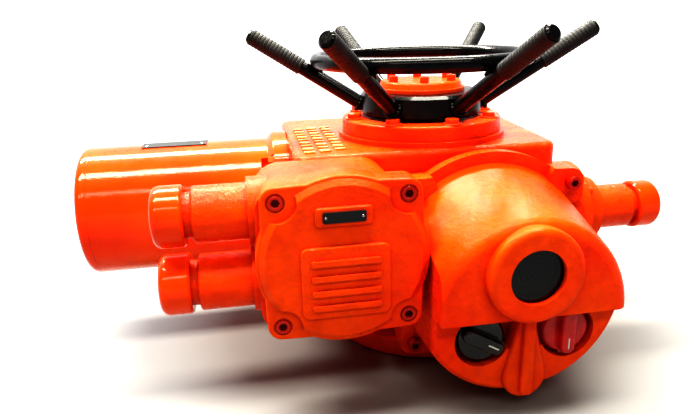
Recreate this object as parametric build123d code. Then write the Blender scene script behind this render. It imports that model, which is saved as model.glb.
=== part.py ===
from build123d import *
import math
import os

# Multi-turn electric valve actuator, millimetres.
# Origin: output axis at the base flange's lower face. +Z is up, the motor lies towards -X,
# the terminal box and the control compartment face -Y.

# ---- Driving dimensions ----
# Base flange, ISO 5210 size F16
FLANGE_R = 105.0
FLANGE_T = 20.0
FLANGE_PCD_R = 82.5
FLANGE_HOLE_R = 11.0
REGISTER_R = 65.0
REGISTER_DEPTH = 5.0
SPIGOT_R = 64.0
NECK_R = 62.0
NECK_TOP = 64.0
WEB_FOOT_R = 90.0
WEB_HEAD_R = 84.0
WEB_T = 12.0
BASE_PLATE_R = 92.0
BASE_PLATE_TOP = 76.0
BASE_SCREW_R = 78.0
SEAL_SEAT_R = 34.0

# Gearbox housing
HOUSING_LEFT = -146.0
HOUSING_FRONT = -94.0
HOUSING_BACK = 130.0
HOUSING_RIGHT_FRONT = 114.0
HOUSING_RIGHT_MIDDLE = 127.0
HOUSING_RIGHT_BACK = 112.0
HOUSING_TOP = 221.0
HOUSING_WALL = 10.0
HOUSING_CORNER = 14.0
BOSS_R = 90.0
BOSS_TOP = 226.0
BONNET_R = 85.6
BONNET_TOP = 241.0
BONNET_SCREW_R = 76.0
BONNET_SCREW_PHASE = 8.0
BONNET_SPIGOT_R = 62.0
BONNET_BORE_R = 40.0

# Output drive
SLEEVE_R = 30.0
SLEEVE_BORE_R = 20.0
SLEEVE_BOTTOM = 26.0
SLEEVE_TOP = 214.0
SHOULDER = 46.0
STEM_NUT_R = 24.0
STEM_NUT_TOP = 70.0
BEARING_R = 47.5
BEARING_W = 18.0
RUN_GAP = 0.05

# Worm gear
MODULE = 2.5
WHEEL_TEETH = 32
WHEEL_R = MODULE * WHEEL_TEETH / 2
WORM_R = 15.0
GEAR_CENTRES = WHEEL_R + WORM_R
TOOTH_T = 3.2
FLANK = math.tan(math.radians(20))
GEAR_Z = 142.0

# Motor
MOTOR_Y = GEAR_CENTRES
MOTOR_Z = GEAR_Z
MOTOR_R = 71.0
MOTOR_LEFT = -371.0
MOTOR_FLANGE_LEFT = HOUSING_LEFT - 16.0
MOTOR_BORE_R = 63.0
MOTOR_FIT_R = MOTOR_BORE_R - 0.1
STATOR = (-320.0, -220.0)
STATOR_BORE_R = 38.5
WINDING_L = 16.0
SHIELD = (-176.0, -160.0)
PLATE = (-305.0, -235.0)
PLATE_T = 1.2
PLATE_FRONT = -12.0
PLATE_BACK = 32.0
SHAFT_R = 10.0
SHAFT_END = 100.0
MOTOR_BEARING_R = 20.0
MOTOR_BEARING_W = 14.0

# Manual change-over lever on the back wall: its axis in X and Z
LEVER_AT = (40.0, 168.0)
LEVER_BORE = 7.0

# Handwheel
HUB_R = 65.0
HUB_BOTTOM = 243.0
HUB_TOP = 267.0
ROD_R = 7.5
ROD_COUNT = 6
ROD_PHASE = -11.0
ROD_ROOT = (60.0, 251.0)
ROD_TIP = (183.0, 329.0)
GRIP_LENGTH = 62.0
GRIP_R = 8.8
GRIP_RIBS = 16
GRIP_GROOVE = 0.35
RING_R = 111.0
CAP_R = 45.0
CAP_TOP = 278.0

# Terminal box: centre of its round cover in X and Z
TERMINAL_AT = (-117.0, 153.0)
TERMINAL_FACE = -171.0
TERMINAL_COVER_R = 73.0
TERMINAL_BOLT = 54.0
TERMINAL_EAR_R = 12.5
TERMINAL_EAR_BLEND_R = 68.0
TERMINAL_RIM_FRONT = TERMINAL_FACE - 14.0
TERMINAL_STEP_FRONT = TERMINAL_RIM_FRONT - 4.5
TERMINAL_PAD_FRONT = TERMINAL_STEP_FRONT - 3.0
TERMINAL_WALL = 9.0
TERMINAL_SPIGOT_R = 56.0
STEP_FOOT_R = 70.5
STEP_HEAD_R = 65.5
SPOT_FACE_R = 16.5
BAR_BOTTOM = 39.0
BAR_PITCH = 13.0
BAR_T = 2.5
LABEL_T = 1.2
TERMINAL_LEFT = -188.0
TERMINAL_RIGHT = -62.0
TERMINAL_BOTTOM = 84.0
TERMINAL_TOP = 219.0

# Control compartment: centre of its round flange in X and Z
CONTROL_AT = (35.0, 112.0)
CONTROL_BACK = -106.0
CONTROL_FLOOR = -109.0
CONTROL_FACE = -118.0
CONTROL_FLANGE_R = 109.0
CONTROL_FLANGE_LEFT = -56.0
CONTROL_BOLT = 77.0
CONTROL_EAR_R = 13.0
DOME_R = 98.0
LOWER_R = 93.5
LOWER_FRONT = -200.0
UPPER_R = 91.0
UPPER_Z = 92.0
UPPER_FRONT = -214.0
LEDGE_Z = 97.0
DOME_LEFT = -43.0
DOME_WALL = 9.0
MOUTH_R = 84.0
WINDOW_AT = (35.0, 139.0)
WINDOW_R = 24.0
WINDOW_BOSS_R = 42.0
WINDOW_BOSS_FRONT = -224.0
GLASS_FRONT = -219.0
GLASS_T = 8.0
NOSE_EDGE = 12.0
KNOB_MIDDLE = 38.5
KNOB_OFFSET = 39.5
KNOB_Z = 73.0
KNOB_R = 22.0
KNOB_DISC_T = 11.0
KNOB_BAR_T = 8.0
KNOB_BAR_HALF = 6.5
KNOB_REACH = 24.3
KNOB_SHAFT_R = 8.0
POCKET_R = 25.0
RIB_HALF = 5.5
RIB_FOOT_R = 20.0
RIB_FOOT_DROP = 5.0
POCKET_DEPTH = 14.0

# Cable glands
LEFT_GLAND_Y = -131.0
LEFT_GLAND_Z = (123.0, 186.0)
RIGHT_GLAND_AT = (-30.0, 127.0)
RIGHT_GLAND_X = 166.0
GLAND_CORE = 14.0

FAR = 400.0
PLANES = {"x": Plane.YZ, "y": Plane.XZ, "z": Plane.XY}
FACING = {
    "+x": Rot(0, 90, 0),
    "-x": Rot(0, -90, 0),
    "+y": Rot(-90, 0, 0),
    "-y": Rot(90, 0, 0),
    "+z": Rot(0, 0, 0),
    "-z": Rot(180, 0, 0),
}


# ---- Shape helpers ----
def prism(axis, sketch, start, end):
    """A sketch drawn across an axis, extruded from start to end along it."""
    low, high = sorted((-start, -end)) if axis == "y" else sorted((start, end))
    return extrude(PLANES[axis].offset(low) * sketch, high - low)


def disc(axis, radius, start, end, at=(0, 0)):
    """A round bar along an axis, at the given place on the other two axes."""
    return prism(axis, Pos(*at) * Circle(radius), start, end)


def tube(axis, outer, inner, start, end, at=(0, 0)):
    """A round tube along an axis."""
    return prism(axis, Pos(*at) * (Circle(outer) - Circle(inner)), start, end)


def slab(low, high, radius=0.0, axis="z"):
    """A box between two corners, its edges along one axis rounded."""
    size = [b - a for a, b in zip(low, high)]
    centre = [(a + b) / 2 for a, b in zip(low, high)]
    block = Box(*size)
    if radius:
        block = fillet(block.edges().filter_by({"x": Axis.X, "y": Axis.Y, "z": Axis.Z}[axis]), radius)
    return Pos(*centre) * block


def turned(facing, points, at=(0, 0, 0)):
    """A lathe part: (radius, height) points turned about a line through a place."""
    profile = make_face(Polyline(*[(r, 0, h) for r, h in points], close=True))
    return Pos(*at) * FACING[facing] * revolve(profile, Axis.Z, 360)


def rounded(radius, height, edge, hole=0.0):
    """Lathe points of a disc whose top outer edge is rounded."""
    steps = 6
    arc = [
        (radius - edge + edge * math.cos(a), height - edge + edge * math.sin(a))
        for a in (math.pi / 2 * k / steps for k in range(steps + 1))
    ]
    return [(hole, 0), (radius, 0), *arc, (hole, height)]


def polar(radius, degrees, centre=(0, 0)):
    """A point on a circle, in the plane of the circle."""
    angle = math.radians(degrees)
    return (centre[0] + radius * math.cos(angle), centre[1] + radius * math.sin(angle))


def square(half, centre=(0, 0)):
    """The four corners of a square, for bolts."""
    return [(centre[0] + half * i, centre[1] + half * j) for i in (-1, 1) for j in (-1, 1)]


def socket_screw(size, grip, facing, at):
    """A socket-head cap screw; at is the centre of the face under its head."""
    body = turned(
        "+z",
        [(0, -grip), (size / 2, -grip), (size / 2, 0), (size * 0.78, 0), (size * 0.78, size), (0, size)],
    )
    key = extrude(Pos(0, 0, size * 0.4) * RegularPolygon(size * 0.46, 6), size)
    return Pos(*at) * FACING[facing] * (body - key)


def hex_screw(size, grip, facing, at):
    """A hexagon-head screw with a washer face; at is the centre of the face under its head."""
    shank = Pos(0, 0, -grip / 2) * Cylinder(size / 2, grip)
    washer = Pos(0, 0, size * 0.05) * Cylinder(size, size * 0.1)
    head = extrude(Pos(0, 0, size * 0.1) * RegularPolygon(size * 0.9, 6), size * 0.6)
    return Pos(*at) * FACING[facing] * (shank + washer + head)


# ---- Base flange ----
def base_bolt_points():
    return [polar(FLANGE_PCD_R, 45 + 90 * k) for k in range(4)]


def base_screw_points():
    return [polar(BASE_SCREW_R, 22.5 + 45 * k) for k in range(8)]


def base_flange():
    """Flange ring that sits on the valve, shrunk on the neck's spigot."""
    body = disc("z", FLANGE_R, 0, FLANGE_T)
    body = fillet(body.edges().group_by(Axis.Z)[-1], 3)
    body = chamfer(body.edges().group_by(Axis.Z)[0], 1)
    body -= disc("z", REGISTER_R, 0, REGISTER_DEPTH)
    body -= disc("z", SPIGOT_R, REGISTER_DEPTH, FLANGE_T)
    for at in base_bolt_points():
        body -= disc("z", FLANGE_HOLE_R, 0, FLANGE_T, at)
    return body


def base_neck():
    """Neck casting: spigot in the flange, four webs, and the plate that bolts under the gearbox."""
    body = disc("z", SPIGOT_R, REGISTER_DEPTH, FLANGE_T)
    body += disc("z", NECK_R, FLANGE_T, NECK_TOP)
    plate = disc("z", BASE_PLATE_R, NECK_TOP, BASE_PLATE_TOP)
    body += fillet(plate.edges().group_by(Axis.Z)[0], 2)
    inner = NECK_R - 6
    web = Polyline(
        (inner, FLANGE_T), (WEB_FOOT_R, FLANGE_T), (WEB_HEAD_R, NECK_TOP), (inner, NECK_TOP), close=True
    )
    for k in range(4):
        body += Rot(0, 0, 90 * k) * (Pos(0, WEB_T / 2, 0) * extrude(Plane.XZ * make_face(web), WEB_T))
    body -= disc("z", SEAL_SEAT_R, REGISTER_DEPTH, SLEEVE_BOTTOM)
    body -= disc("z", BEARING_R, SLEEVE_BOTTOM, BASE_PLATE_TOP)
    for at in base_screw_points():
        body -= disc("z", 5.0, NECK_TOP, BASE_PLATE_TOP, at)
    return body


# ---- Gearbox ----
def housing_outline():
    """The housing seen from above."""
    corners = [
        (HOUSING_LEFT, HOUSING_FRONT),
        (HOUSING_RIGHT_FRONT, HOUSING_FRONT),
        (HOUSING_RIGHT_MIDDLE, 62.0),
        (HOUSING_RIGHT_BACK, HOUSING_BACK),
        (HOUSING_LEFT, HOUSING_BACK),
    ]
    return make_face(Polyline(*corners, close=True))


def rounded_outline(face, radius):
    return fillet(face.vertices(), radius)


def gearbox_housing():
    """Main casting: a walled box with openings for the base, bonnet, motor and cable entry."""
    outline = rounded_outline(housing_outline(), HOUSING_CORNER)
    body = extrude(Plane.XY.offset(BASE_PLATE_TOP) * outline, HOUSING_TOP - BASE_PLATE_TOP)
    body = fillet(body.edges().group_by(Axis.Z)[-1], 6)
    body += disc("z", BOSS_R, HOUSING_TOP, BOSS_TOP)
    body += disc("x", 56, RIGHT_GLAND_X - 62, RIGHT_GLAND_X, RIGHT_GLAND_AT)
    inner = rounded_outline(offset(housing_outline(), -HOUSING_WALL), 8)
    cavity = extrude(
        Plane.XY.offset(BASE_PLATE_TOP + HOUSING_WALL) * inner,
        HOUSING_TOP - BASE_PLATE_TOP - 2 * HOUSING_WALL,
    )
    body -= cavity
    body += disc("x", 32, 80, 118, (MOTOR_Y, MOTOR_Z))
    body -= disc("x", MOTOR_BEARING_R, SHAFT_END - MOTOR_BEARING_W, SHAFT_END, (MOTOR_Y, MOTOR_Z))
    body -= disc("x", 12, 80, SHAFT_END - MOTOR_BEARING_W, (MOTOR_Y, MOTOR_Z))
    body -= disc("z", BEARING_R, BASE_PLATE_TOP, BASE_PLATE_TOP + HOUSING_WALL)
    body -= disc("z", BONNET_SPIGOT_R, HOUSING_TOP - HOUSING_WALL, BOSS_TOP)
    body -= disc("x", 50, HOUSING_LEFT, HOUSING_LEFT + HOUSING_WALL, (MOTOR_Y, MOTOR_Z))
    body -= disc("x", 19, 100, RIGHT_GLAND_X, RIGHT_GLAND_AT)
    body -= disc("x", 44, 118 - HOUSING_WALL, RIGHT_GLAND_X - 10, RIGHT_GLAND_AT)
    for at in base_screw_points():
        body -= disc("z", 5.0, BASE_PLATE_TOP, BASE_PLATE_TOP + 8, at)
    for at in bonnet_screw_points():
        body -= disc("z", 4.0, BOSS_TOP - 14, BOSS_TOP, at)
    for at in motor_screw_points():
        body -= disc("x", 5.0, HOUSING_LEFT, HOUSING_LEFT + 8, at)
    for at in adapter_screw_points():
        body -= disc("x", 2.5, RIGHT_GLAND_X - 9, RIGHT_GLAND_X, at)
    for at in terminal_mount_points():
        body -= disc("y", 4.0, HOUSING_FRONT, HOUSING_FRONT + 8, at)
    for at in control_mount_points():
        body -= disc("y", 4.0, HOUSING_FRONT, HOUSING_FRONT + 8, at)
    body -= disc("y", LEVER_BORE, HOUSING_BACK - HOUSING_WALL, HOUSING_BACK, LEVER_AT)
    return body


def bonnet_screw_points():
    return [polar(BONNET_SCREW_R, BONNET_SCREW_PHASE + 45 * k) for k in range(8)]


def bonnet():
    """Round top cover with a spigot that holds the upper bearing."""
    body = disc("z", BONNET_R, BOSS_TOP, BONNET_TOP)
    body = fillet(body.edges().group_by(Axis.Z)[-1], 2.5)
    body += disc("z", BONNET_SPIGOT_R - 0.1, 190, BOSS_TOP)
    body -= disc("z", BONNET_BORE_R + RUN_GAP, SLEEVE_TOP, BONNET_TOP)
    body -= disc("z", BEARING_R, 190, SLEEVE_TOP)
    for at in bonnet_screw_points():
        body -= disc("z", 4.0, BOSS_TOP, BONNET_TOP, at)
    body -= tube("z", BONNET_BORE_R + 4, BONNET_BORE_R + RUN_GAP, 230, 234)
    return body


def worm_wheel():
    """Bronze wheel with straight trapezoid teeth, keyed to the drive sleeve."""
    root = WHEEL_R - 3.2
    tip = WHEEL_R + 2.3
    half_root = TOOTH_T / 2 + (WHEEL_R - root) * FLANK
    half_tip = TOOTH_T / 2 - (tip - WHEEL_R) * FLANK
    tooth = make_face(
        Polyline((root - 1, -half_root), (root, -half_root), (tip, -half_tip), (tip, half_tip),
                 (root, half_root), (root - 1, half_root), close=True)
    )
    gear = Circle(root)
    for k in range(WHEEL_TEETH):
        gear += Rot(0, 0, 90 + 360 / WHEEL_TEETH * k) * tooth
    rim = prism("z", gear, GEAR_Z - 5, GEAR_Z + 5)
    hub = disc("z", 35.5, GEAR_Z - 12, GEAR_Z + 12)
    return rim + hub - disc("z", SLEEVE_R, GEAR_Z - 12, GEAR_Z + 12)


def worm():
    """Single-start right-hand worm on a sleeve that is keyed to the motor shaft."""
    lead = math.pi * MODULE
    length = lead * 4.5
    root = WORM_R - 3.2
    tip = WORM_R + 2.4
    half_root = TOOTH_T / 2 + (WORM_R - root + 0.4) * FLANK
    half_tip = TOOTH_T / 2 - (tip - WORM_R) * FLANK
    section = make_face(
        Polyline((root - 0.4, 0, -half_root), (tip, 0, -half_tip), (tip, 0, half_tip),
                 (root - 0.4, 0, half_root), close=True)
    )
    thread = sweep(section, Helix(lead, length, WORM_R), is_frenet=True)
    core = Pos(0, 0, length / 2) * Cylinder(root, length + 12)
    body = core + thread - Pos(0, 0, length / 2) * Cylinder(SHAFT_R, length + 12)
    return Pos(-length / 2, MOTOR_Y, MOTOR_Z) * Rot(0, 90, 0) * body


def drive_sleeve():
    """Hollow output sleeve with a shoulder that rests on the lower bearing."""
    points = [
        (SLEEVE_BORE_R, SLEEVE_BOTTOM),
        (SLEEVE_R, SLEEVE_BOTTOM),
        (SLEEVE_R, SHOULDER),
        (36, SHOULDER),
        (36, SHOULDER + 8),
        (SLEEVE_R, SHOULDER + 8),
        (SLEEVE_R, SLEEVE_TOP),
        (SLEEVE_BORE_R, SLEEVE_TOP),
    ]
    return turned("+z", points) - disc("z", STEM_NUT_R, SLEEVE_BOTTOM, STEM_NUT_TOP)


def stem_nut():
    """Bronze stem nut in the sleeve's lower counterbore."""
    return tube("z", STEM_NUT_R, 18, SLEEVE_BOTTOM, STEM_NUT_TOP)


def clutch_ring():
    """Sliding dog ring on the sleeve, above the worm wheel."""
    ring = tube("z", 41, SLEEVE_R + RUN_GAP, 160, 176)
    ring -= tube("z", 41, 37, 165, 171)
    for k in range(4):
        ring += Rot(0, 0, 90 * k) * slab((33, -6, 176), (40, 6, 180))
    return ring


def main_bearings():
    """The drive sleeve's lower and upper bearings."""
    lower = tube("z", BEARING_R, SLEEVE_R + RUN_GAP, SLEEVE_BOTTOM, SLEEVE_BOTTOM + BEARING_W)
    upper = tube("z", BEARING_R, SLEEVE_R + RUN_GAP, SLEEVE_TOP - BEARING_W, SLEEVE_TOP)
    return [lower, upper]


def lower_seal():
    return tube("z", SEAL_SEAT_R, SLEEVE_BORE_R + 4, 10, 18)


# ---- Manual change-over lever ----
def lever_shaft():
    points = [(0, 94), (LEVER_BORE - RUN_GAP, 94), (LEVER_BORE - RUN_GAP, 152), (0, 152)]
    shaft = turned("+y", points, (LEVER_AT[0], 0, LEVER_AT[1]))
    cam = slab((LEVER_AT[0] - 5, 94, LEVER_AT[1] - 5), (LEVER_AT[0] + 20, 102, LEVER_AT[1] + 5))
    return shaft + cam


def lever_arm():
    """Cranked handle clamped on the shaft's outer end."""
    hub = disc("y", 14, 134, 152, LEVER_AT)
    arm = slab((LEVER_AT[0] - 6, 138, LEVER_AT[1] - 70), (LEVER_AT[0] + 6, 148, LEVER_AT[1]))
    return hub + arm - disc("y", LEVER_BORE - RUN_GAP, 134, 152, LEVER_AT)


def lever_knob():
    at = (LEVER_AT[0], 148, LEVER_AT[1] - 60)
    points = [(0, 0), (6, 0), (6, 6), (12, 12), (13, 22), (10, 30), (0, 33)]
    return turned("+y", points, at)


# ---- Motor ----
def motor_screw_points():
    return [polar(74.0, 45 + 90 * k, (MOTOR_Y, MOTOR_Z)) for k in range(4)]


def motor_shell():
    """Smooth motor tube with a bolting flange at the gearbox."""
    at = (0, MOTOR_Y, MOTOR_Z)
    points = [
        (MOTOR_BORE_R, MOTOR_LEFT + 12),
        (MOTOR_R, MOTOR_LEFT + 12),
        (MOTOR_R, MOTOR_FLANGE_LEFT - 6),
        (78, MOTOR_FLANGE_LEFT),
        (78, HOUSING_LEFT),
        (MOTOR_BORE_R, HOUSING_LEFT),
    ]
    body = turned("+x", points, at)
    bore = disc("x", MOTOR_BORE_R, -FAR, FAR, at[1:])
    for point in motor_screw_points():
        body += disc("x", 11, MOTOR_FLANGE_LEFT, HOUSING_LEFT, point) - bore
    for point in motor_screw_points():
        body -= disc("x", 5.0, MOTOR_FLANGE_LEFT, HOUSING_LEFT, point)
        body -= disc("x", 11.5, MOTOR_FLANGE_LEFT - 14, MOTOR_FLANGE_LEFT, point)
    return body


def motor_end_cap():
    """Closed rear cap with a rounded rim and a bearing seat."""
    at = (MOTOR_LEFT + 12, MOTOR_Y, MOTOR_Z)
    cap = turned("-x", rounded(MOTOR_R, 12, 8), at)
    seat = turned("+x", [(0, 0), (MOTOR_FIT_R, 0), (MOTOR_FIT_R, 8), (26, 8), (26, 20), (0, 20)], at)
    bore = turned("+x", [(0, 4), (MOTOR_BEARING_R, 4), (MOTOR_BEARING_R, 20), (0, 20)], at)
    return cap + seat - bore


def motor_shield():
    """Front bearing shield inside the shell."""
    left, right = SHIELD
    shield = tube("x", MOTOR_FIT_R, 12, left, right, (MOTOR_Y, MOTOR_Z))
    return shield - disc("x", MOTOR_BEARING_R, left + 2, right, (MOTOR_Y, MOTOR_Z))


def motor_bearings():
    at = (MOTOR_Y, MOTOR_Z)
    left = MOTOR_LEFT + 18
    spans = [(left, left + MOTOR_BEARING_W), (SHIELD[1] - MOTOR_BEARING_W, SHIELD[1])]
    spans.append((SHAFT_END - MOTOR_BEARING_W, SHAFT_END))
    return [tube("x", MOTOR_BEARING_R, SHAFT_R + RUN_GAP, a, b, at) for a, b in spans]


def stator_core():
    return tube("x", MOTOR_FIT_R, STATOR_BORE_R, *STATOR, (MOTOR_Y, MOTOR_Z))


def stator_windings():
    left, right = STATOR
    spans = [(left - WINDING_L, left), (right, right + WINDING_L)]
    return [tube("x", 58, 42, a, b, (MOTOR_Y, MOTOR_Z)) for a, b in spans]


def rotor_core():
    return tube("x", STATOR_BORE_R - 0.5, SHAFT_R, *STATOR, (MOTOR_Y, MOTOR_Z))


def motor_shaft():
    return disc("x", SHAFT_R, MOTOR_LEFT + 18, SHAFT_END, (MOTOR_Y, MOTOR_Z))


def rating_plate():
    """Thin blank plate curved over the top of the motor shell."""
    left, right = PLATE
    ring = tube("x", MOTOR_R + PLATE_T, MOTOR_R, left, right, (MOTOR_Y, MOTOR_Z))
    return ring & slab((left, MOTOR_Y + PLATE_FRONT, MOTOR_Z), (right, MOTOR_Y + PLATE_BACK, FAR))


# ---- Handwheel ----
def handwheel_hub():
    points = [
        (BONNET_BORE_R, HUB_BOTTOM),
        (HUB_R - 3, HUB_BOTTOM),
        (HUB_R, HUB_BOTTOM + 3),
        (HUB_R, HUB_TOP - 3),
        (HUB_R - 3, HUB_TOP),
        (BONNET_BORE_R, HUB_TOP),
    ]
    body = turned("+z", points)
    for rod in handwheel_rods():
        body -= rod
    return body


def handwheel_sleeve():
    """Sleeve that carries the hub and turns in the bonnet's bore."""
    outer = BONNET_BORE_R - 0.03
    return tube("z", outer, 33, 219, HUB_TOP)


def rod_angles():
    return [ROD_PHASE + 360 / ROD_COUNT * k for k in range(ROD_COUNT)]


def rod_axis(angle):
    """Plane at a rod's root, its normal along the rod."""
    run, rise = (b - a for a, b in zip(ROD_ROOT, ROD_TIP))
    x, y = polar(ROD_ROOT[0], angle)
    dx, dy = polar(run, angle)
    return Plane(origin=(x, y, ROD_ROOT[1]), z_dir=(dx, dy, rise))


def rod_length():
    return math.dist(ROD_ROOT, ROD_TIP)


def handwheel_rods():
    rods = []
    for angle in rod_angles():
        rod = Pos(0, 0, rod_length() / 2) * Cylinder(ROD_R, rod_length())
        rod = chamfer(rod.edges().group_by(Axis.Z)[-1], 1.5)
        rods.append(rod_axis(angle) * rod)
    return rods


def grip_points():
    """Lathe points of one ribbed grip sleeve."""
    rib = GRIP_LENGTH / GRIP_RIBS
    points = [(ROD_R, 0)]
    for k in range(GRIP_RIBS):
        points += [
            (GRIP_R - GRIP_GROOVE, k * rib),
            (GRIP_R, k * rib + rib * 0.25),
            (GRIP_R, k * rib + rib * 0.75),
        ]
    return points + [(GRIP_R - GRIP_GROOVE, GRIP_LENGTH), (ROD_R, GRIP_LENGTH)]


def handwheel_grips():
    start = rod_length() - GRIP_LENGTH - 3
    grip = Pos(0, 0, start) * turned("+z", grip_points())
    return [rod_axis(angle) * grip for angle in rod_angles()]


def handwheel_ring():
    """Ring welded on top of the rods, inside their grips."""
    slope = (ROD_TIP[1] - ROD_ROOT[1]) / (ROD_TIP[0] - ROD_ROOT[0])
    lift = (2 * ROD_R + 0.02) * math.sqrt(1 + slope * slope)
    level = ROD_ROOT[1] + (RING_R - ROD_ROOT[0]) * slope + lift
    return Pos(0, 0, level) * Torus(RING_R, ROD_R)


def cap_screw_points():
    return [polar(35.0, 20 + 60 * k) for k in range(6)]


def stem_cap():
    """Painted cap over the stem bore, screwed to the handwheel hub."""
    body = turned(
        "+z",
        [(0, HUB_TOP), (CAP_R + 2, HUB_TOP), (CAP_R + 2, HUB_TOP + 4), (CAP_R, HUB_TOP + 4),
         (CAP_R - 2, CAP_TOP - 1.5), (CAP_R - 3.5, CAP_TOP), (0, CAP_TOP)],
    )
    for at in cap_screw_points():
        body -= disc("z", 3.0, HUB_TOP, CAP_TOP, at)
    return body


# ---- Terminal box ----
def terminal_mount_points():
    return [(x, z) for x in (-118.0, -76.0) for z in (100.0, 200.0)]


def terminal_bolt_points():
    return square(TERMINAL_BOLT, TERMINAL_AT)


def ear_web(centre, at, inner, outer):
    """Straight-sided web, tangent to a circle round the centre and to one round the ear."""
    dx, dz = at[0] - centre[0], at[1] - centre[1]
    facing = math.degrees(math.atan2(dz, dx))
    spread = math.degrees(math.acos((inner - outer) / math.hypot(dx, dz)))
    corners = [
        polar(inner, facing + spread, centre),
        polar(outer, facing + spread, at),
        polar(outer, facing - spread, at),
        polar(inner, facing - spread, centre),
    ]
    return make_face(Polyline(*corners, close=True))


def eared_outline(centre, radius, bolts, blend, ear):
    """Round plate whose bolt ears run into it, in X and Z."""
    outline = Pos(*centre) * Circle(radius)
    for at in bolts:
        outline += Pos(*at) * Circle(ear)
        outline += ear_web(centre, at, blend, ear)
    return outline


def terminal_outline():
    return eared_outline(
        TERMINAL_AT, TERMINAL_COVER_R, terminal_bolt_points(), TERMINAL_EAR_BLEND_R, TERMINAL_EAR_R
    )


def terminal_box():
    """Box casting behind the round cover, open at the front."""
    low = (TERMINAL_LEFT, TERMINAL_FACE, TERMINAL_BOTTOM)
    high = (TERMINAL_RIGHT, HOUSING_FRONT, TERMINAL_TOP)
    body = slab(low, high, 26, "y")
    body += prism("y", terminal_outline(), TERMINAL_FACE, TERMINAL_FACE + 12)
    for z in LEFT_GLAND_Z:
        body += disc("x", 30, TERMINAL_LEFT - 5, TERMINAL_LEFT + 20, (LEFT_GLAND_Y, z))
    wall = TERMINAL_WALL
    body -= slab(
        (TERMINAL_LEFT + wall, TERMINAL_FACE + 10, TERMINAL_BOTTOM + wall),
        (TERMINAL_RIGHT - wall, HOUSING_FRONT - wall, TERMINAL_TOP - wall),
        18,
        "y",
    )
    body -= disc("y", TERMINAL_SPIGOT_R, TERMINAL_FACE, TERMINAL_FACE + 12, TERMINAL_AT)
    for z in LEFT_GLAND_Z:
        body -= disc("x", 16, TERMINAL_LEFT - 5, TERMINAL_LEFT + 22, (LEFT_GLAND_Y, z))
    for at in terminal_bolt_points():
        body -= disc("y", 4.0, TERMINAL_FACE, TERMINAL_FACE + 12, at)
    for at in terminal_mount_points():
        body -= disc("y", 4.0, HOUSING_FRONT - wall, HOUSING_FRONT, at)
    body -= terminal_seal()
    return body


def terminal_cover():
    """Round flameproof cover: eared rim, bevelled raised face, raised pad with bars, label boss."""
    x, z = TERMINAL_AT
    body = prism("y", terminal_outline(), TERMINAL_RIM_FRONT, TERMINAL_FACE)
    body = fillet(body.edges().group_by(Axis.Y)[0], 2)
    back, front = -TERMINAL_RIM_FRONT, -TERMINAL_STEP_FRONT
    bevel = [(0, back - 1), (STEP_FOOT_R, back - 1), (STEP_FOOT_R, back), (STEP_HEAD_R, front), (0, front)]
    step = turned("-y", bevel, (x, 0, z))
    for at in terminal_bolt_points():
        step -= disc("y", SPOT_FACE_R, TERMINAL_STEP_FRONT, TERMINAL_RIM_FRONT, at)
    body += step
    body += disc("y", TERMINAL_SPIGOT_R - 0.1, TERMINAL_FACE, TERMINAL_FACE + 6, TERMINAL_AT)
    pad_front, pad_root = TERMINAL_PAD_FRONT, TERMINAL_STEP_FRONT + 1
    pads = [
        slab((x - 37, pad_front, z - 47), (x + 37, pad_root, z + 16), 6, "y"),
        slab((x - 24, pad_front, z + 33), (x + 23, pad_root, z + 49), 3, "y"),
    ]
    for pad in pads:
        body += chamfer(pad.edges().group_by(Axis.Y)[0], 1)
    for k in range(4):
        low = z - BAR_BOTTOM + BAR_PITCH * k
        body += slab((x - 29, pad_front - BAR_T, low), (x + 29, pad_root, low + 5), 2, "y")
    for at in terminal_bolt_points():
        body -= disc("y", 4.2, TERMINAL_RIM_FRONT, TERMINAL_FACE, at)
        body -= disc("y", 7.6, TERMINAL_RIM_FRONT, TERMINAL_RIM_FRONT + 7, at)
    return body


def terminal_seal():
    return tube("y", 60, 57.5, TERMINAL_FACE, TERMINAL_FACE + 2.2, TERMINAL_AT)


def terminal_label():
    """Small blank name strip on the label boss."""
    x, z = TERMINAL_AT
    front = TERMINAL_PAD_FRONT - LABEL_T
    return slab((x - 18, front, z + 36.5), (x + 17, TERMINAL_PAD_FRONT, z + 45.5), 1.5, "y")


def terminal_block():
    """Moulded terminal carrier on the box's back wall."""
    x, z = TERMINAL_AT
    back = HOUSING_FRONT - TERMINAL_WALL
    body = slab((x - 40, back - 18, z - 24), (x + 34, back, z + 24), 3, "y")
    for sx, sz in stud_points():
        body -= disc("y", 3.0, back - 18, back - 4, (sx, sz))
    for row in (-1, 1):
        body -= slab((x - 40, back - 18, z + row * 12 - 1.5), (x + 34, back - 14, z + row * 12 + 1.5))
    return body


def stud_points():
    x, z = TERMINAL_AT
    return [(x - 31 + 14 * k, z + row) for k in range(5) for row in (-18, 0, 18)]


def terminal_studs():
    back = HOUSING_FRONT - TERMINAL_WALL
    return [disc("y", 3.0, back - 26, back - 4, at) for at in stud_points()]


# ---- Cable glands ----
def gland_body(facing, at, core):
    """Gland body with its hexagon and a grooved neck; heights run away from the box."""
    points = [
        (core, 0), (25, 0), (25, 45), (23.5, 46.5), (20, 46.5), (20, 56), (core + 5, 56),
        (core + 5, 50), (core, 50),
    ]
    return turned(facing, points, at)


def gland_nut(facing, at, core):
    """Clamping nut over the gland's neck, with a rounded outer edge."""
    steps = 6
    arc = [(20 + 7 * math.cos(a), 73 + 7 * math.sin(a)) for a in
           (math.pi / 2 * k / steps for k in range(steps + 1))]
    points = [(20, 53), (25, 53), (27, 55), *arc, (core - 1, 80), (core - 1, 68), (20, 68)]
    return turned(facing, points, at)


def gland_seal(facing, at, core):
    """Rubber bush squeezed between the body and the nut, with a blanking core."""
    return turned(facing, [(7, 50), (core + 5, 50), (core + 5, 56), (19.8, 56), (19.8, 68), (7, 68)], at)


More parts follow.
